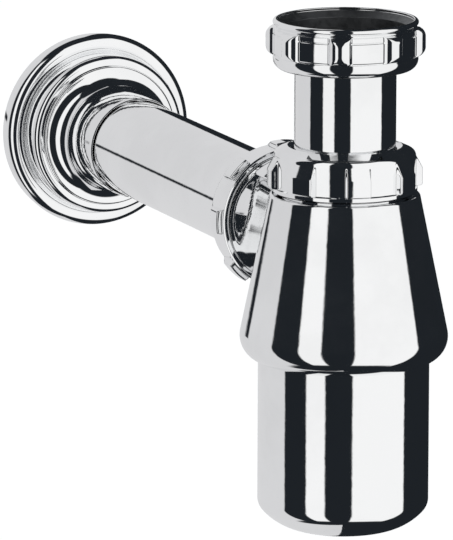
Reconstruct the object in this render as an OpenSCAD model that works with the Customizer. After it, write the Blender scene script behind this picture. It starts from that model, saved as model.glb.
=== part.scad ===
// Chrome plated brass bottle trap for a washbasin, in millimetres.
// +Z is up, and the outlet pipe runs along +Y to the wall.
// The origin is the centre of the inlet washer's top face, where the basin waste's tail seats.
// Depths are measured down from the mouth of the inlet nut.

/* [Tubes] */
// outside diameter of the dip tube and of the outlet pipe
tube_d = 32; // [30:0.5:34]
// wall thickness of both tubes
tube_wall = 1.1; // [0.8:0.1:2]
// depth of the dip tube's lower end below the mouth
dip_end = 140; // [120:1:150]
// distance of the outlet pipe's inner end from the trap's axis
pipe_start = 28; // [24:1:34]
// distance of the outlet pipe's far end from the trap's axis
pipe_end = 245; // [225:1:260]
// length of the pipe's free end, which enters the drain in the wall
free_end = 24; // [15:1:30]
// how much smaller the free end's radius is
free_end_relief = 0.25; // [0.2:0.05:0.5]

/* [Threads] */
// diameter of the plain bore that stands for a nut's female thread
thread_bore_d = 39; // [38.8:0.1:40]
// radial gap between two pieces that turn or slide on each other
running_gap = 0.05; // [0.02:0.01:0.1]
// radial gap between a tube and the hole that it passes through
tube_gap = 0.35; // [0.2:0.05:0.6]

/* [Inlet union nut] */
// height of the inlet nut
inlet_nut_h = 15.7; // [14:0.1:18]
// radius of the mouth inside the lip
mouth_r = 21.5; // [21:0.1:22]
// outside radius of the inlet nut's lip
lip_r = 22.85; // [22.4:0.05:23.4]
// reach of the inlet nut's grip lugs from the axis
inlet_lug_r = 25.1; // [24:0.1:26]
// radius of the tube's flange and of the washer on it
flange_r = 19.2; // [18.6:0.1:19.4]
// depth of the shoulder that carries the tube's flange
flange_seat = 12.9; // [11:0.1:13.5]
// thickness of the tube's flange
flange_t = 1.5; // [1:0.1:2.5]
// thickness of the inlet washer
washer_t = 2; // [1.5:0.1:3]
// direction of the first lug, in degrees
inlet_lug_phase = 18; // [0:1:45]

/* [Compression nuts] */
// height of a compression nut
comp_nut_h = 14.7; // [13:0.1:17]
// gap under a tightened compression nut
comp_nut_lift = 0.7; // [0.3:0.1:1.5]
// radius of a compression nut's belt
belt_r = 22.3; // [21.8:0.1:23]
// reach of a compression nut's lugs from its axis
comp_lug_r = 24.45; // [24:0.05:25]
// width of a compression nut's lug
comp_lug_w = 7.8; // [6:0.1:9]
// number of lugs on each nut
lug_count = 8; // [6:1:10]
// direction of the body nut's first lug, in degrees
body_lug_phase = 33; // [0:1:45]

/* [Bell body] */
// depth of the bell's top shoulder below the mouth
bell_top = 55.4; // [50:0.1:60]
// half angle of the bell's cone, in degrees
bell_angle = 11.6; // [8:0.1:15]
// radius of the rounded rim at the bell's foot
rim_round = 8; // [6:0.1:10]
// radius from the axis to the centre of that rounding
rim_centre_r = 24.8; // [24:0.1:26]
// depth of the centre of that rounding
rim_centre_depth = 100.8; // [98:0.1:104]
// wall thickness of the casting
bell_wall = 2; // [1.5:0.1:3]
// depth of the outlet's axis below the mouth
outlet_depth = 71.7; // [66:0.1:76]
// outside radius of the outlet boss
boss_r = 21; // [20.5:0.1:22]
// distance of the outlet boss's face from the trap's axis
boss_face = 44.2; // [40:0.1:50]
// radius of the spot face round the neck, which clears the body nut's lugs
spot_face_r = 24.85; // [24.8:0.05:25.5]

/* [Cup] */
// outside diameter of the cup
cup_d = 54; // [50:0.2:58]
// wall thickness of the cup
cup_wall = 1.5; // [1:0.1:2.5]
// depth of the cup's upper edge, inside the bell
cup_top = 97.6; // [97:0.1:100]
// depth where the cup's bottom corner begins
cup_corner = 153.1; // [148:0.1:158]
// height of the cup's bottom corner
corner_h = 9.7; // [8:0.1:12]
// width of the cup's bottom corner
corner_w = 15.4; // [12:0.1:18]
// radius of the tighter arc next to the cup's wall
corner_tight = 5; // [3:0.1:7]

/* [Wall rosette] */
// distance of the wall from the trap's axis
wall_dist = 221; // [200:1:235]
// radius of the rosette's rolled rim
rosette_r = 32.8; // [31:0.1:35]
// radius of the roll itself
roll_r = 3.5; // [2.5:0.1:4.5]
// sheet thickness of the rosette
rosette_wall = 1; // [0.6:0.1:1.5]
// depth of the rosette from the wall to its front edge
rosette_depth = 43; // [35:0.5:48]

/* [Hidden] */
$fn = 128;
overcut = 1;
tube_r = tube_d / 2;
bore_r = tube_r - tube_wall;
hole_r = tube_r + tube_gap;
thread_r = thread_bore_d / 2;
spigot_r = thread_r - running_gap;
cup_r = cup_d / 2;
flange_bottom = flange_seat - running_gap;
washer_top = flange_bottom - flange_t - washer_t;
lug_pitch = 360 / lug_count;

// compression joint, measured outwards from the shoulder under the nut
spigot_len = 9.2;
seat_mouth_r = 18.5;
seat_depth = 4;
socket_r = 16.5;
seal_top = 10.5;
seal_bottom = 5.6;
seal_side = 9.2;
seal_r = 18.42;
seal_tip_r = 16.62;
slip_bottom = 10.55;
slip_top = 11.75;
nut_crown = 11.8;
nut_bottom = comp_nut_lift;
nut_top = comp_nut_lift + comp_nut_h;

// bell
bell_bore_r = cup_r + running_gap;
seat_top = 93.5;
seat_bottom = 96;
seat_r = 24.6;
bell_inner_top = bell_top + bell_wall;
rim_join = [rim_centre_r + rim_round * cos(bell_angle), -rim_centre_depth + rim_round * sin(bell_angle)];
shoulder_edge = 0.8;
rim_end_angle = -72;

// cup corner: a tight arc at the wall runs into a wide arc at the floor
corner_wide = (pow(corner_w, 2) + pow(corner_h, 2) - 2 * corner_w * corner_tight) / (2 * (corner_h - corner_tight));
corner_turn = atan2(corner_wide - corner_h, corner_w - corner_tight);
cup_bottom = cup_corner + corner_h;

chrome = [0.82, 0.83, 0.85];
rubber = [0.12, 0.12, 0.13];
nylon = [0.92, 0.91, 0.88];

// points along an arc, angles in degrees
function arc(centre, r, from, to, steps = 8) =
    [for (i = [0 : steps]) let (a = from + (to - from) * i / steps) centre + r * [cos(a), sin(a)]];

// radius of the bell's outer cone at a height
function bell_r(z) = rim_join[0] + (rim_join[1] - z) * tan(bell_angle);

module turned(points) {
    rotate_extrude() polygon(points);
}

// places a piece drawn down from the mouth so that the washer's top face is at z = 0
module below_mouth() {
    translate([0, 0, washer_top]) children();
}

// turns a piece drawn upwards from z = 0 to point along the outlet
module on_outlet(distance) {
    translate([0, distance, -outlet_depth]) rotate([-90, 0, 0]) children();
}

module ring(outer, inner, bottom, top) {
    difference() {
        translate([0, 0, bottom]) cylinder(r = outer, h = top - bottom);
        translate([0, 0, bottom - overcut]) cylinder(r = inner, h = top - bottom + 2 * overcut);
    }
}

// inlet union nut: rolled lip, grooves, a belt of knob lugs, curved underside
module inlet_nut_blank() {
    turned(concat(
        [[0, 0], [mouth_r + 0.5, 0]],
        arc([lip_r - 0.9, -0.9], 0.9, 90, -50, 6),
        [[22.1, -2.2], [22.1, -2.5], [22.6, -2.8], [22.65, -4.2], [22.4, -4.5],
         [22.7, -4.8], [22.7, -10.6], [22.5, -10.9], [22.5, -11.2]],
        arc([19.4, -12.4], 3.4, 20, -65, 8),
        [[17.2, -inlet_nut_h], [0, -inlet_nut_h]]));
}

module inlet_lugs() {
    knob_r = 3.7;
    intersection() {
        difference() {
            turned(concat(
                [[mouth_r, -2.7]],
                arc([22.4, -5.4], 2.7, 80, 0, 5),
                arc([22.4, -8.5], 2.7, 0, -80, 5),
                [[mouth_r, -11.2]]));
            translate([0, 0, -inlet_nut_h]) cylinder(r = mouth_r - 0.2, h = inlet_nut_h);
        }
        for (i = [0 : lug_count - 1])
            rotate([0, 0, inlet_lug_phase + i * lug_pitch])
                translate([inlet_lug_r - knob_r, 0, -inlet_nut_h]) cylinder(r = knob_r, h = inlet_nut_h);
    }
}

module inlet_union_nut() {
    lead_in = 0.8;
    thread_start = lead_in + mouth_r - thread_r;
    color(chrome) below_mouth() difference() {
        union() {
            inlet_nut_blank();
            inlet_lugs();
        }
        translate([0, 0, -lead_in]) cylinder(r = mouth_r, h = lead_in + overcut);
        translate([0, 0, -thread_start]) cylinder(r1 = thread_r, r2 = mouth_r, h = thread_start - lead_in);
        translate([0, 0, -washer_top]) cylinder(r = thread_r, h = washer_top - thread_start);
        translate([0, 0, -flange_seat]) cylinder(r = flange_r + 0.1, h = flange_seat - washer_top);
        translate([0, 0, -inlet_nut_h - overcut]) cylinder(r = hole_r, h = inlet_nut_h);
    }
}

module dip_tube() {
    color(chrome) below_mouth() difference() {
        union() {
            translate([0, 0, -dip_end]) cylinder(r = tube_r, h = dip_end - flange_bottom + flange_t);
            translate([0, 0, -flange_bottom]) cylinder(r = flange_r, h = flange_t);
        }
        translate([0, 0, -dip_end - overcut]) cylinder(r = bore_r, h = dip_end);
    }
}

module inlet_washer() {
    color(rubber) below_mouth() ring(flange_r, bore_r, -washer_top - washer_t, -washer_top);
}

// compression nut, drawn upwards from the shoulder that it screws down to
module comp_nut_blank() {
    crown_r = 21.4;
    lip_inner_r = 17.9;
    turned(concat(
        [[0, nut_bottom], [22.3, nut_bottom], [22.8, nut_bottom + 0.4], [22.8, nut_bottom + 1.5],
         [belt_r, nut_bottom + 1.9]],
        arc([belt_r - 1.9, nut_top - 3.2], 1.9, 0, 62, 6),
        [[crown_r - 0.6, nut_top - 1.3], [lip_inner_r, nut_top], [lip_inner_r, nut_top - 0.5],
         [hole_r, nut_top - 1.1], [0, nut_top - 1.1]]));
}

module comp_nut_lugs(phase) {
    foot = nut_bottom + 1.7;
    intersection() {
        difference() {
            turned([[0, foot], [comp_lug_r - 0.4, foot], [comp_lug_r, foot + 0.5],
                    [comp_lug_r, nut_bottom + 7.3], [belt_r, nut_bottom + 11.4], [0, nut_bottom + 11.4]]);
            cylinder(r = belt_r - 0.4, h = nut_top);
        }
        for (i = [0 : lug_count - 1])
            rotate([0, 0, phase + i * lug_pitch])
                translate([0, -comp_lug_w / 2, 0]) cube([2 * comp_lug_r, comp_lug_w, nut_top]);
    }
}

module comp_nut(phase) {
    difference() {
        union() {
            comp_nut_blank();
            comp_nut_lugs(phase);
        }
        translate([0, 0, nut_bottom - overcut]) cylinder(r = thread_r, h = nut_crown - nut_bottom + overcut);
        cylinder(r = hole_r, h = nut_top + overcut);
    }
}

// flat ring that lets the nut turn on the seal
module slip_ring() {
    ring(thread_r - 0.3, hole_r, slip_bottom, slip_top);
}

// tapered rubber ring that the nut presses into the spigot's seat
module cone_seal() {
    turned([[tube_r + running_gap, seal_bottom], [seal_tip_r, seal_bottom], [seal_r, seal_side],
            [seal_r, seal_top], [tube_r + running_gap, seal_top]]);
}

// threaded spigot with its tapered seat, and the socket below it
module spigot() {
    cylinder(r = spigot_r, h = spigot_len);
}

module spigot_bore(reach) {
    translate([0, 0, -reach]) cylinder(r = socket_r, h = reach + spigot_len);
    translate([0, 0, spigot_len - seat_depth])
        cylinder(r1 = socket_r, r2 = seat_mouth_r, h = seat_depth + 0.01);
    translate([0, 0, spigot_len]) cylinder(r = seat_mouth_r, h = overcut);
}

module body_nut() {
    color(chrome) below_mouth() translate([0, 0, -bell_top]) comp_nut(body_lug_phase);
}

module body_slip_ring() {
    color(nylon) below_mouth() translate([0, 0, -bell_top]) slip_ring();
}

module body_seal() {
    color(rubber) below_mouth() translate([0, 0, -bell_top]) cone_seal();
}

// outside of the bell: flat shoulder, straight cone, rounded rim
module bell_outside() {
    turned(concat(
        [[0, -bell_top], [bell_r(-bell_top) - shoulder_edge, -bell_top],
         [bell_r(-bell_top - shoulder_edge), -bell_top - shoulder_edge]],
        arc([rim_centre_r, -rim_centre_depth], rim_round, bell_angle, rim_end_angle, 14),
        [[0, -rim_centre_depth + rim_round * sin(rim_end_angle)]]));
}

// hollow of the bell, down to the land that the cup's washer seats on
module bell_inside() {
    turned([[0, -bell_inner_top], [bell_r(-bell_inner_top) - bell_wall - 1, -bell_inner_top],
            [bell_r(-bell_inner_top - 1) - bell_wall, -bell_inner_top - 1],
            [bell_r(-seat_top) - bell_wall, -seat_top], [0, -seat_top]]);
}

module bell_body() {
    color(chrome) below_mouth() difference() {
        union() {
            bell_outside();
            translate([0, 0, -bell_top]) spigot();
            difference() {
                on_outlet(0) cylinder(r = boss_r, h = boss_face);
                translate([0, 0, -bell_top]) cylinder(r = spot_face_r, h = boss_r);
            }
            on_outlet(boss_face) spigot();
        }
        bell_inside();
        translate([0, 0, -seat_bottom - overcut]) cylinder(r = seat_r, h = seat_bottom - seat_top + 2 * overcut);
        translate([0, 0, -seat_bottom - 20]) cylinder(r = bell_bore_r, h = 20);
        translate([0, 0, -bell_top]) spigot_bore(bell_wall + overcut);
        on_outlet(boss_face) spigot_bore(boss_face);
    }
}

module cup_washer() {
    color(rubber) below_mouth() ring(cup_r - 0.1, seat_r, -cup_top + running_gap, -seat_bottom - running_gap);
}

// outline of the cup, drawn inwards by a wall
function cup_outline(wall) = concat(
    [[cup_r - wall, -cup_corner]],
    arc([cup_r - corner_tight, -cup_corner], corner_tight - wall, 0, -corner_turn, 6),
    arc([cup_r - corner_w, -cup_bottom + corner_wide], corner_wide - wall, -corner_turn, -90, 10));

module cup() {
    edge = 0.4;
    color(chrome) below_mouth() turned(concat(
        [[cup_r - cup_wall, -cup_top], [cup_r - edge, -cup_top], [cup_r, -cup_top - edge]],
        cup_outline(0),
        [[0, -cup_bottom], [0, -cup_bottom + cup_wall]],
        [for (i = [len(cup_outline(cup_wall)) - 1 : -1 : 0]) cup_outline(cup_wall)[i]]));
}

module outlet_nut() {
    color(chrome) below_mouth() on_outlet(boss_face) comp_nut(0);
}

module outlet_slip_ring() {
    color(nylon) below_mouth() on_outlet(boss_face) slip_ring();
}

module outlet_seal() {
    color(rubber) below_mouth() on_outlet(boss_face) cone_seal();
}

module outlet_pipe() {
    color(chrome) below_mouth() on_outlet(0) difference() {
        union() {
            translate([0, 0, pipe_start]) cylinder(r = tube_r, h = pipe_end - free_end - pipe_start);
            translate([0, 0, pipe_start]) cylinder(r = tube_r - free_end_relief, h = pipe_end - pipe_start);
        }
        cylinder(r = bore_r, h = pipe_end + overcut);
    }
}

// section of the pressed rosette, drawn outwards from the wall, thinned by an inset
function rosette_section(inset) = concat(
    [[rosette_r - 0.4 - inset, 0]],
    arc([rosette_r - roll_r, 4], roll_r - inset, 0, 110, 8),
    [[27.9 - inset, 6.3 - inset], [27.3 - inset, 7.2 - inset], [26.9 - inset, 13.5 - inset]],
    arc([24.6 - inset, 14 - inset], 2.2, 0, 90, 5),
    [[23.8 - inset, 16.2 - inset], [23.5 - inset, 16.8 - inset]],
    arc([24 - inset, 24 - inset], 6.6, -95, -175, 7),
    [[17.35, 24.5 - inset / 2], [16.9, rosette_depth - 2.2]]);

module wall_rosette() {
    inner = rosette_section(rosette_wall);
    color(chrome) below_mouth() on_outlet(wall_dist) mirror([0, 0, 1]) turned(concat(
        rosette_section(0),
        [[16.8, rosette_depth - 0.4], [16.5, rosette_depth], [hole_r, rosette_depth - 0.1],
         [hole_r, 24.5]],
        [for (i = [len(inner) - 3 : -1 : 0]) inner[i]]));
}

inlet_union_nut();
inlet_washer();
dip_tube();
body_nut();
body_slip_ring();
body_seal();
bell_body();
cup_washer();
cup();
outlet_nut();
outlet_slip_ring();
outlet_seal();
outlet_pipe();
wall_rosette();
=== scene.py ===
"""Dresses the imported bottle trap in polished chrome, rubber and nylon, in a plain white studio."""

from math import atan2, cos, degrees, pi, radians, sin, sqrt, tan

import bmesh
import bpy
from mathutils import Matrix, Vector


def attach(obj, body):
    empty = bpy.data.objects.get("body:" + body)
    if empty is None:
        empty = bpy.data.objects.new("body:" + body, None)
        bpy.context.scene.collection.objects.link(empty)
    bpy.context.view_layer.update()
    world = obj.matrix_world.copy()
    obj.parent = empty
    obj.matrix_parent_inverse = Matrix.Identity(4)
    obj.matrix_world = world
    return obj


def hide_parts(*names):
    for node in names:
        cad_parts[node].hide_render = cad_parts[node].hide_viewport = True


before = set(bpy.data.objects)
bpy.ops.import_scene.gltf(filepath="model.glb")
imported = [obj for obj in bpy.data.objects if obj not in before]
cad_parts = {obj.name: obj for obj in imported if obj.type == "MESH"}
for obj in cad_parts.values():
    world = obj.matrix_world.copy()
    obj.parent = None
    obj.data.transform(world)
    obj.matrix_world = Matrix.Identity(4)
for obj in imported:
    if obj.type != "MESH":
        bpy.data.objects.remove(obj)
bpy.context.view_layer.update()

MM = 0.001
MOUTH = 9.35          # height of the union nut's mouth above the frame's origin, in mm
OUTLET = 71.7         # depth of the outlet's axis below the mouth
BELL_TOP = 55.4
BOSS_FACE = 44.2
WALL = 221.0
TUBE = 16.0
BORE = 14.9
HOLE = 16.35
THREAD = 19.5
SUPPORT = 0.03        # distance of a support point from the end of a straight, in mm


# Profiles
def arc(centre_r, centre_z, radius, start, end, step=5.0):
    """points (r, z, 0) along an arc, angles in degrees"""
    count = max(2, round(abs(end - start) / step))
    return [(centre_r + radius * cos(radians(start + (end - start) * i / count)),
             centre_z + radius * sin(radians(start + (end - start) * i / count)), 0.0)
            for i in range(count + 1)]


def rounded(corners, closed=True, step=12.0):
    """(r, z) points of a path whose corners (r, z, radius) are rounded, with support points on the straights"""
    points = []
    count = len(corners)
    for i, (r, z, radius) in enumerate(corners):
        here = Vector((r, z))
        if radius == 0 or (not closed and i in (0, count - 1)):
            points.append((r, z))
            continue
        before = Vector(corners[i - 1][:2]) - here
        after = Vector(corners[(i + 1) % count][:2]) - here
        u, v = before.normalized(), after.normalized()
        half = u.angle(v) / 2
        if half > 1.569:
            points.append((r, z))
            continue
        cut = min(radius / tan(half), 0.46 * before.length, 0.46 * after.length)
        radius = cut * tan(half)
        centre = here + (u + v).normalized() * (radius / sin(half))
        first, last = here + u * cut - centre, here + v * cut - centre
        turn = first.angle_signed(last)
        steps = max(2, round(abs(degrees(turn)) / step))
        points.append(tuple(here + u * (cut + SUPPORT)))
        start = atan2(first.y, first.x)
        for k in range(steps + 1):
            a = start - turn * k / steps
            points.append((centre.x + radius * cos(a), centre.y + radius * sin(a)))
        points.append(tuple(here + v * (cut + SUPPORT)))
    return points


def upright(x, y, z):
    return Vector((x, y, z + MOUTH)) * MM


def above(depth):
    """places what is drawn upwards from a depth below the mouth"""
    return lambda x, y, z: upright(x, y, z - depth)


def outlet(distance, way=1):
    """places what is drawn outwards from a distance along the outlet"""
    return lambda x, y, z: upright(x, distance + way * z, -way * y - OUTLET)


def new_object(name, bm, materials):
    mesh = bpy.data.meshes.new(name)
    bmesh.ops.recalc_face_normals(bm, faces=bm.faces)
    bm.to_mesh(mesh)
    bm.free()
    mesh.polygons.foreach_set("use_smooth", [True] * len(mesh.polygons))
    for material in materials:
        mesh.materials.append(material)
    obj = bpy.data.objects.new(name, mesh)
    bpy.context.scene.collection.objects.link(obj)
    return obj


def even_angles(count):
    return [2 * pi * i / count for i in range(count)]


def turned(name, path, place, materials, angles=None, reach=None, closed=True):
    """revolves a path of (r, z) points; reach(angle, r, z) gives the radius where the piece isn't round"""
    angles = angles or even_angles(224)
    bm = bmesh.new()
    rows = []
    for r, z in path:
        if r < 1e-6:
            rows.append([bm.verts.new(place(0, 0, z))])
            continue
        row = []
        for a in angles:
            rr = reach(a, r, z) if reach else r
            row.append(bm.verts.new(place(rr * cos(a), rr * sin(a), z)))
        rows.append(row)
    pairs = list(zip(rows, rows[1:]))
    if closed:
        pairs.append((rows[-1], rows[0]))
    n = len(angles)
    for low, high in pairs:
        if len(low) == 1 and len(high) == 1:
            continue
        for j in range(n):
            k = (j + 1) % n
            if len(low) == 1:
                bm.faces.new((low[0], high[k], high[j]))
            elif len(high) == 1:
                bm.faces.new((low[j], low[k], high[0]))
            else:
                bm.faces.new((low[j], low[k], high[k], high[j]))
    return new_object(name, bm, materials)


# Materials
class Graph:
    """a small builder for shader graphs"""

    def __init__(self, tree):
        self.tree = tree
        self.nodes = tree.nodes
        self.links = tree.links

    def node(self, kind, **settings):
        made = self.nodes.new(kind)
        for key, value in settings.items():
            setattr(made, key, value)
        return made

    def put(self, socket, value):
        if hasattr(value, "is_output") or isinstance(value, bpy.types.NodeSocket):
            self.links.new(value, socket)
        else:
            socket.default_value = value

    def math(self, operation, a, b=None):
        made = self.node("ShaderNodeMath", operation=operation)
        self.put(made.inputs[0], a)
        if b is not None:
            self.put(made.inputs[1], b)
        return made.outputs[0]

    def step(self, value, low, high, start=0.0, end=1.0):
        """start below low, end above high, smooth between"""
        made = self.node("ShaderNodeMapRange", interpolation_type="SMOOTHSTEP")
        self.put(made.inputs["Value"], value)
        made.inputs["From Min"].default_value = low
        made.inputs["From Max"].default_value = high
        made.inputs["To Min"].default_value = start
        made.inputs["To Max"].default_value = end
        return made.outputs["Result"]

    def between(self, value, low, high, soft):
        """1 between low and high, 0 outside"""
        return self.math("MULTIPLY", self.step(value, low - soft, low + soft),
                         self.step(value, high - soft, high + soft, 1.0, 0.0))

    def mix(self, factor, a, b):
        made = self.node("ShaderNodeMix", data_type="RGBA")
        self.put(made.inputs[0], factor)
        self.put(made.inputs[6], a)
        self.put(made.inputs[7], b)
        return made.outputs[2]


def material(name):
    made = bpy.data.materials.new(name)
    made.use_nodes = True
    graph = Graph(made.node_tree)
    return made, graph, made.node_tree.nodes["Principled BSDF"]


def noise(graph, scale, detail=2.0, roughness=0.5, distortion=0.0):
    position = graph.node("ShaderNodeTexCoord").outputs["Object"]
    made = graph.node("ShaderNodeTexNoise")
    made.inputs["Scale"].default_value = scale
    made.inputs["Detail"].default_value = detail
    made.inputs["Roughness"].default_value = roughness
    made.inputs["Distortion"].default_value = distortion
    graph.links.new(position, made.inputs["Vector"])
    return made.outputs["Fac"]


def chrome_material(name, colour=(0.93, 0.935, 0.94), rough=(0.03, 0.07), wave=0.02):
    made, graph, shader = material(name)
    cloud = noise(graph, 28.0, 4.0, 0.6)
    shade = tuple(c * 0.955 for c in colour) + (1.0,)
    graph.put(shader.inputs["Base Color"], graph.mix(graph.step(cloud, 0.42, 0.62), colour + (1.0,), shade))
    graph.put(shader.inputs["Roughness"], graph.step(noise(graph, 90.0, 5.0, 0.65), 0.4, 0.75, rough[0], rough[1]))
    shader.inputs["Metallic"].default_value = 1.0
    bump = graph.node("ShaderNodeBump")
    bump.inputs["Strength"].default_value = wave
    bump.inputs["Distance"].default_value = 0.001
    graph.put(bump.inputs["Height"], noise(graph, 220.0, 3.0, 0.5))
    graph.put(shader.inputs["Normal"], bump.outputs["Normal"])
    return made


def rubber_material(name):
    made, graph, shader = material(name)
    graph.put(shader.inputs["Base Color"],
              graph.mix(noise(graph, 900.0, 4.0, 0.6), (0.012, 0.012, 0.013, 1), (0.03, 0.03, 0.031, 1)))
    graph.put(shader.inputs["Roughness"], graph.step(noise(graph, 400.0, 3.0), 0.3, 0.7, 0.55, 0.8))
    bump = graph.node("ShaderNodeBump")
    bump.inputs["Strength"].default_value = 0.25
    bump.inputs["Distance"].default_value = 0.0002
    graph.put(bump.inputs["Height"], noise(graph, 1500.0, 3.0))
    graph.put(shader.inputs["Normal"], bump.outputs["Normal"])
    return made


def nylon_material(name):
    made, graph, shader = material(name)
    graph.put(shader.inputs["Base Color"],
              graph.mix(noise(graph, 300.0, 3.0), (0.78, 0.76, 0.70, 1), (0.86, 0.85, 0.81, 1)))
    graph.put(shader.inputs["Roughness"], graph.step(noise(graph, 500.0, 3.0), 0.3, 0.7, 0.32, 0.48))
    return made


def dark_mouth_material(name):
    """dark grey metal for the faces inside the mouth, below its lip"""
    made, graph, shader = material(name)
    graph.put(shader.inputs["Base Color"],
              graph.mix(noise(graph, 260.0, 4.0, 0.6), (0.10, 0.105, 0.11, 1), (0.17, 0.175, 0.18, 1)))
    graph.put(shader.inputs["Roughness"], graph.step(noise(graph, 500.0, 3.0), 0.3, 0.7, 0.38, 0.55))
    shader.inputs["Metallic"].default_value = 1.0
    return made


CHROME = chrome_material("polished_chrome")
RUBBER = rubber_material("black_rubber")
NYLON = nylon_material("white_nylon")
DARK_MOUTH = dark_mouth_material("dark_mouth_inside")


# Pieces
def kept(obj, body, node):
    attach(obj, body)
    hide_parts(node)
    return obj


def lug_angles(count, phase, half_width, edge):
    """angles that crowd round the two edges of each lug"""
    found = []
    pitch = 2 * pi / count
    fine = [-1.6, -1.2, -0.9, -0.6, -0.3, 0.0, 0.3, 0.6, 0.9, 1.2, 1.6]
    for i in range(count):
        middle = phase + i * pitch
        marks = [s * half_width + f * edge for s in (-1, 1) for f in fine]
        inside = half_width - 1.6 * edge
        marks += [inside * k / 6 for k in range(-5, 6)]
        outside = pitch / 2 - half_width - 1.6 * edge
        marks += [half_width + 1.6 * edge + 2 * outside * k / 12 for k in range(1, 12)]
        found += [(middle + m) % (2 * pi) for m in marks]
    return sorted(found)


def smooth(value, low, high):
    t = min(1.0, max(0.0, (value - low) / (high - low)))
    return t * t * (3 - 2 * t)


def nearest_lug(angle, count, phase):
    pitch = 2 * pi / count
    return abs((angle - phase + pitch / 2) % pitch - pitch / 2)


def finely(path, low, high, step):
    """adds points to the path's steep straights between two heights"""
    out = []
    for (r0, z0), (r1, z1) in zip(path, path[1:] + path[:1]):
        out.append((r0, z0))
        length = sqrt((r1 - r0) ** 2 + (z1 - z0) ** 2)
        if length > step and min(z0, z1) >= low and max(z0, z1) <= high and min(r0, r1) > 20:
            count = int(length / step) + 1
            out += [(r0 + (r1 - r0) * k / count, z0 + (z1 - z0) * k / count) for k in range(1, count)]
    return out


def union_nut():
    lug_reach, knob, phase = 25.1, 3.7, radians(18)
    corners = [(21.5, 0, 0.3)] + [(22.0, 0, 0.0)] + arc(21.95, -0.9, 0.9, 84, -50)
    corners += [(22.1, -2.2, 0.15), (22.1, -2.5, 0.15), (22.6, -2.8, 0.2), (22.65, -4.2, 0.15), (22.4, -4.5, 0.12),
                (22.7, -4.8, 0.15), (22.7, -10.6, 0.2), (22.5, -10.9, 0.12), (22.5, -11.2, 0.12)]
    corners += arc(19.4, -12.4, 3.4, 20, -65)
    corners += [(17.2, -15.7, 0.4), (16.35, -15.7, 0.2), (16.35, -12.9, 0.1), (19.3, -12.9, 0.1), (19.3, -9.35, 0.05),
                (THREAD, -9.35, 0.05), (THREAD, -2.8, 0.2), (21.5, -0.8, 0.2)]
    path = finely(rounded(corners), -11.6, -2.0, 0.22)

    def bump(z):
        if z > -2.7 or z < -11.2:
            return 0.0
        middle = min(-5.4, max(-8.5, z))
        return 22.4 + sqrt(max(0.0, 2.7 ** 2 - (z - middle) ** 2))

    def reach(angle, r, z):
        off = nearest_lug(angle, 8, phase)
        if r < 21.9 or off > radians(14) or not -11.2 < z < -2.7:
            return r
        centre = lug_reach - knob
        across = centre * sin(off)
        if across >= knob:
            return r
        plan = centre * cos(off) + sqrt(knob ** 2 - across ** 2)
        high = min(plan, bump(z))
        blend = 0.7
        return r + 0.5 * (high - r + sqrt((high - r) ** 2 + blend ** 2)) - 0.5 * (sqrt(4 + blend ** 2) - 2)

    angles = lug_angles(8, phase, radians(9.0), radians(0.9))
    obj = turned("union_nut", path, upright, [CHROME, DARK_MOUTH], angles, reach)
    # faces inside the mouth, more than 0.7 mm below its lip, take the dark grey metal
    for face in obj.data.polygons:
        middle = face.center / MM
        if middle.z - MOUTH < -0.7 and middle.xy.length < 21.4:
            face.material_index = 1
    return kept(obj, "inlet_nut", "inlet_union_nut")


def compression_nut(name, place, phase):
    bottom, top = 0.7, 15.4
    belt, lug_reach, half = 22.3, 24.45, 3.9
    corners = [(belt, bottom, 0.25), (22.8, bottom + 0.4, 0.2), (22.8, bottom + 1.5, 0.2), (belt, bottom + 1.9, 0.12)]
    corners += arc(belt - 1.9, top - 3.2, 1.9, 0, 62)
    corners += [(20.8, top - 1.3, 0.6), (17.9, top, 0.25), (17.9, top - 0.5, 0.1), (HOLE, top - 1.1, 0.1),
                (HOLE, 11.8, 0.1), (THREAD, 11.8, 0.1), (THREAD, bottom, 0.2)]
    path = finely(rounded(corners), bottom, top, 0.2)
    foot, shelf, end = bottom + 1.7, bottom + 7.3, bottom + 11.4

    def pad(z):
        if z < shelf:
            return lug_reach - 0.4 * (1 - smooth(z, foot, foot + 0.6))
        return lug_reach + (belt - 0.05 - lug_reach) * (z - shelf) / (end - shelf)

    def reach(angle, r, z):
        if r < belt - 0.6 or z < foot - 0.3 or z > end:
            return r
        side = nearest_lug(angle, 8, phase) * 23.4
        share = (1 - smooth(side, half - 0.4, half + 0.4)) * smooth(z, foot - 0.15, foot + 0.12)
        return max(r, r + (pad(z) - r) * share)

    angles = lug_angles(8, phase, half / 23.4, 0.3 / 23.4)
    return turned(name, path, place, [CHROME], angles, reach)


def bell_radius(z):
    slope = tan(radians(11.6))
    edge = 24.8 + 8 * cos(radians(11.6))
    return edge + (-100.8 + 8 * sin(radians(11.6)) - z) * slope


def combined(obj, tool, operation):
    change = obj.modifiers.new(operation, "BOOLEAN")
    change.operation = operation
    change.solver = "EXACT"
    change.object = tool
    bpy.context.view_layer.objects.active = obj
    bpy.ops.object.modifier_apply(modifier=change.name)
    bpy.data.objects.remove(tool)


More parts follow.
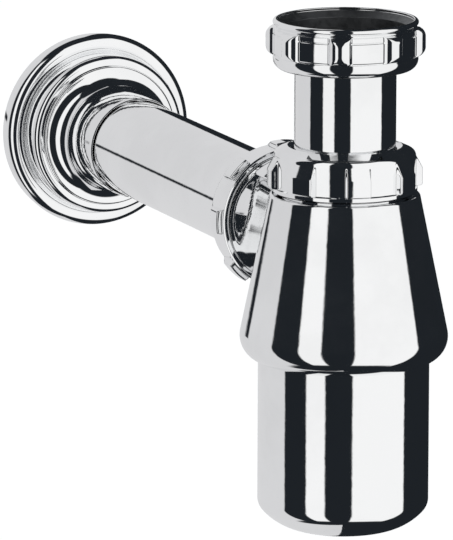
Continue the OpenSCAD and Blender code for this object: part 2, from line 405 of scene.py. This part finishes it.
def bell():
    inner_top = -BELL_TOP - 2.0
    outside = [(16.5, inner_top, 0.2), (16.5, -50.2, 0.1), (18.5, -46.2, 0.15), (19.45, -46.2, 0.5),
               (19.45, -BELL_TOP, 0.1), (bell_radius(-BELL_TOP), -BELL_TOP, 0.9)]
    outside += arc(24.8, -100.8, 8, 11.6, -72, 4)
    outside += [(27.05, -108.5, 0.0), (27.05, -96, 0.1), (24.6, -96, 0.1), (24.6, -93.5, 0.1),
                (bell_radius(-93.5) - 2, -93.5, 0.3), (bell_radius(-58.4) - 2, -58.4, 0.0),
                (bell_radius(-57.4) - 3, inner_top, 0.3)]
    body = turned("bell", rounded(outside), upright, [CHROME])
    boss = turned("boss", rounded([(0, 0, 0), (21, 0, 0), (21, BOSS_FACE, 0.5), (19.45, BOSS_FACE, 0.1),
                                   (19.45, 53.4, 0.5), (0, 53.4, 0)], closed=False),
                  outlet(0), [CHROME], closed=False)
    hollow = turned("hollow", rounded([(0, inner_top - 0.01, 0), (bell_radius(-57.4) - 3, inner_top - 0.01, 0.3),
                                       (bell_radius(-58.4) - 2, -58.4, 0), (bell_radius(-93.5) - 2.002, -93.49, 0),
                                       (0, -93.49, 0)], closed=False), upright, [CHROME], closed=False)
    bore = turned("bore", rounded([(0, -1, 0), (16.5, -1, 0), (16.5, 49.4, 0.1), (18.52, 53.44, 0), (18.52, 60, 0),
                                   (0, 60, 0)], closed=False), outlet(0), [CHROME], closed=False)
    spot = turned("spot", [(0, -BELL_TOP - 0.02), (24.85, -BELL_TOP - 0.02), (24.85, -30), (0, -30)], upright,
                  [CHROME], closed=False)
    combined(boss, spot, "DIFFERENCE")
    combined(body, boss, "UNION")
    combined(body, hollow, "DIFFERENCE")
    combined(body, bore, "DIFFERENCE")
    return kept(body, "bell", "bell_body")


def cup_outline(wall):
    r, corner, bottom, corner_w, corner_h, tight = 27.0, 153.1, 162.8, 15.4, 9.7, 5.0
    wide = (corner_w ** 2 + corner_h ** 2 - 2 * corner_w * tight) / (2 * (corner_h - tight))
    turn = degrees(atan2(wide - corner_h, corner_w - tight))
    return (arc(r - tight, -corner, tight - wall, 0, -turn, 4)
            + arc(r - corner_w, -bottom + wide, wide - wall, -turn, -90, 2.5)[1:])


def cup():
    edge = [(25.5, -97.6, 0.3), (27.0, -97.6, 0.4)]
    outer = cup_outline(0.0)
    inner = cup_outline(1.5)
    corners = [(0, inner[-1][1], 0)] + inner[::-1] + edge + outer + [(0, outer[-1][1], 0)]
    obj = turned("cup_shell", rounded(corners, closed=False), upright, [CHROME], closed=False)
    return kept(obj, "cup", "cup")


def dip_tube():
    corners = [(BORE, -140, 0.3), (TUBE, -140, 0.3), (TUBE, -12.85, 0.3), (19.2, -12.85, 0.2), (19.2, -11.35, 0.2),
               (BORE, -11.35, 0.3)]
    return kept(turned("dip_tube_shell", rounded(corners), upright, [CHROME]), "dip_tube", "dip_tube")


def outlet_pipe():
    corners = [(BORE, 28, 0.3), (TUBE, 28, 0.3), (TUBE, WALL, 0.05), (15.75, WALL, 0.05), (15.75, 245, 0.3),
               (BORE, 245, 0.3)]
    return kept(turned("outlet_pipe_shell", rounded(corners), outlet(0), [CHROME]), "outlet_pipe", "outlet_pipe")


def rosette_section(inset):
    points = [(32.4 - inset, 0, 0.2)] + arc(29.3, 4, 3.5 - inset, 0, 110)
    points += [(27.9 - inset, 6.3 - inset, 0.3), (27.3 - inset, 7.2 - inset, 0.5), (26.9 - inset, 13.5 - inset, 0.3)]
    points += arc(24.6 - inset, 14 - inset, 2.2, 0, 90)
    points += [(23.8 - inset, 16.2 - inset, 0.2), (23.5 - inset, 16.8 - inset, 0.4)]
    points += arc(24 - inset, 24 - inset, 6.6, -95, -175)
    points += [(17.35, 24.5 - inset / 2, 0.5)]
    return points


def rosette():
    corners = rosette_section(0) + [(16.9, 40.8, 1.0), (16.8, 42.6, 0.3), (16.5, 43, 0.15), (HOLE, 42.9, 0.05)]
    corners += rosette_section(1.0)[::-1]
    return kept(turned("rosette", rounded(corners), outlet(WALL, -1), [CHROME]), "wall_rosette", "wall_rosette")


union_nut()
dip_tube()
kept(compression_nut("body_nut_shell", above(BELL_TOP), radians(33)), "body_nut", "body_nut")
kept(compression_nut("outlet_nut_shell", outlet(BOSS_FACE), 0.0), "outlet_nut", "outlet_nut")
bell()
cup()
outlet_pipe()
rosette()

FINISHES = {"inlet_washer": RUBBER, "body_seal": RUBBER, "outlet_seal": RUBBER, "cup_washer": RUBBER,
            "body_slip_ring": NYLON, "outlet_slip_ring": NYLON}
for node, finish in FINISHES.items():
    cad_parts[node].data.materials.clear()
    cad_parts[node].data.materials.append(finish)


# Floor
def floor():
    made, graph, shader = material("pale_floor")
    output = made.node_tree.nodes["Material Output"]
    made.node_tree.nodes.remove(shader)
    diffuse = graph.node("ShaderNodeBsdfDiffuse")
    diffuse.inputs["Color"].default_value = (0.86, 0.86, 0.86, 1)
    glow = graph.node("ShaderNodeEmission")
    glow.inputs["Strength"].default_value = 0.31
    both = graph.node("ShaderNodeAddShader")
    graph.links.new(diffuse.outputs[0], both.inputs[0])
    graph.links.new(glow.outputs[0], both.inputs[1])
    graph.links.new(both.outputs[0], output.inputs["Surface"])
    bm = bmesh.new()
    bmesh.ops.create_circle(bm, cap_ends=True, segments=96, radius=6.0)
    obj = new_object("floor", bm, [made])
    obj.location = (0, 0, -0.36)
    obj.visible_glossy = False


# Camera
AZIMUTH, ELEVATION, ROLL = radians(-22.0), radians(11.3), radians(0.19)
FOCAL_PIXELS, IMAGE_WIDTH = 7640.0, 453.0
DISTANCE = 2.4
TARGET_SIDE, TARGET_HEIGHT = -0.03696, -0.0802 + MOUTH * MM


def camera():
    back = Vector((sin(AZIMUTH) * cos(ELEVATION), -cos(AZIMUTH) * cos(ELEVATION), sin(ELEVATION)))
    right = Vector((cos(AZIMUTH), sin(AZIMUTH), 0))
    up = back.cross(right)
    target = right * TARGET_SIDE + Vector((0, 0, TARGET_HEIGHT))
    x = right * cos(ROLL) + up * sin(ROLL)
    y = up * cos(ROLL) - right * sin(ROLL)
    data = bpy.data.cameras.new("camera")
    data.sensor_fit = "HORIZONTAL"
    data.sensor_width = 36.0
    data.lens = FOCAL_PIXELS / IMAGE_WIDTH * 36.0
    data.clip_end = 50
    obj = bpy.data.objects.new("camera", data)
    turn = Matrix((x, y, back)).transposed().to_4x4()
    obj.matrix_world = Matrix.Translation(target + back * DISTANCE) @ turn
    bpy.context.scene.collection.objects.link(obj)
    bpy.context.scene.camera = obj


# Studio
def studio():
    world = bpy.data.worlds.new("studio")
    bpy.context.scene.world = world
    world.use_nodes = True
    graph = Graph(world.node_tree)
    graph.nodes.clear()
    way = graph.node("ShaderNodeTexCoord").outputs["Generated"]
    parts = graph.node("ShaderNodeSeparateXYZ")
    graph.links.new(way, parts.inputs[0])
    x, y, z = parts.outputs
    front = (sin(AZIMUTH), -cos(AZIMUTH))
    side = (cos(AZIMUTH), sin(AZIMUTH))
    ahead = graph.math("ADD", graph.math("MULTIPLY", x, front[0]), graph.math("MULTIPLY", y, front[1]))
    across = graph.math("ADD", graph.math("MULTIPLY", x, side[0]), graph.math("MULTIPLY", y, side[1]))
    angle = graph.math("MULTIPLY", graph.math("ARCTAN2", across, ahead), 180 / pi)
    height = graph.math("MULTIPLY", graph.math("ARCSINE", z), 180 / pi)

    white = (0.97, 0.97, 0.97, 1)
    grey = (0.70, 0.70, 0.71, 1)
    black = (0.014, 0.017, 0.021, 1)
    colour = graph.mix(graph.between(angle, -181, -87, 1.5), white, grey)
    dark = graph.between(angle, -87, -52, 1.5)
    dark = graph.math("MAXIMUM", dark, graph.between(angle, -25.4, 11.5, 1.5))
    dark = graph.math("MAXIMUM", dark, graph.between(angle, 89, 181, 1.5))
    table = graph.math("MULTIPLY", graph.step(height, -62, -55, 1.0, 0.0), graph.step(angle, -130, -122))
    dark = graph.math("MAXIMUM", dark, table)
    dark = graph.math("MAXIMUM", dark, graph.step(height, 55, 60))
    horizon = graph.math("MULTIPLY", graph.between(angle, -146, -132, 2.0), graph.between(height, -4.7, -2.3, 0.7))
    dark = graph.math("MAXIMUM", dark, horizon)
    colour = graph.mix(dark, colour, black)

    seen = graph.node("ShaderNodeBackground")
    graph.put(seen.inputs["Color"], (1, 1, 1, 1))
    mirrored = graph.node("ShaderNodeBackground")
    graph.put(mirrored.inputs["Color"], colour)
    light = graph.node("ShaderNodeBackground")
    graph.put(light.inputs["Color"], (0.86, 0.87, 0.88, 1))
    light.inputs["Strength"].default_value = 0.95
    path = graph.node("ShaderNodeLightPath")
    glossy = graph.math("MAXIMUM", path.outputs["Is Glossy Ray"], path.outputs["Is Transmission Ray"])
    first = graph.node("ShaderNodeMixShader")
    graph.links.new(glossy, first.inputs[0])
    graph.links.new(light.outputs[0], first.inputs[1])
    graph.links.new(mirrored.outputs[0], first.inputs[2])
    last = graph.node("ShaderNodeMixShader")
    graph.links.new(path.outputs["Is Camera Ray"], last.inputs[0])
    graph.links.new(first.outputs[0], last.inputs[1])
    graph.links.new(seen.outputs[0], last.inputs[2])
    out = graph.node("ShaderNodeOutputWorld")
    graph.links.new(last.outputs[0], out.inputs["Surface"])


floor()
camera()
studio()
bpy.context.scene.view_settings.view_transform = "Standard"
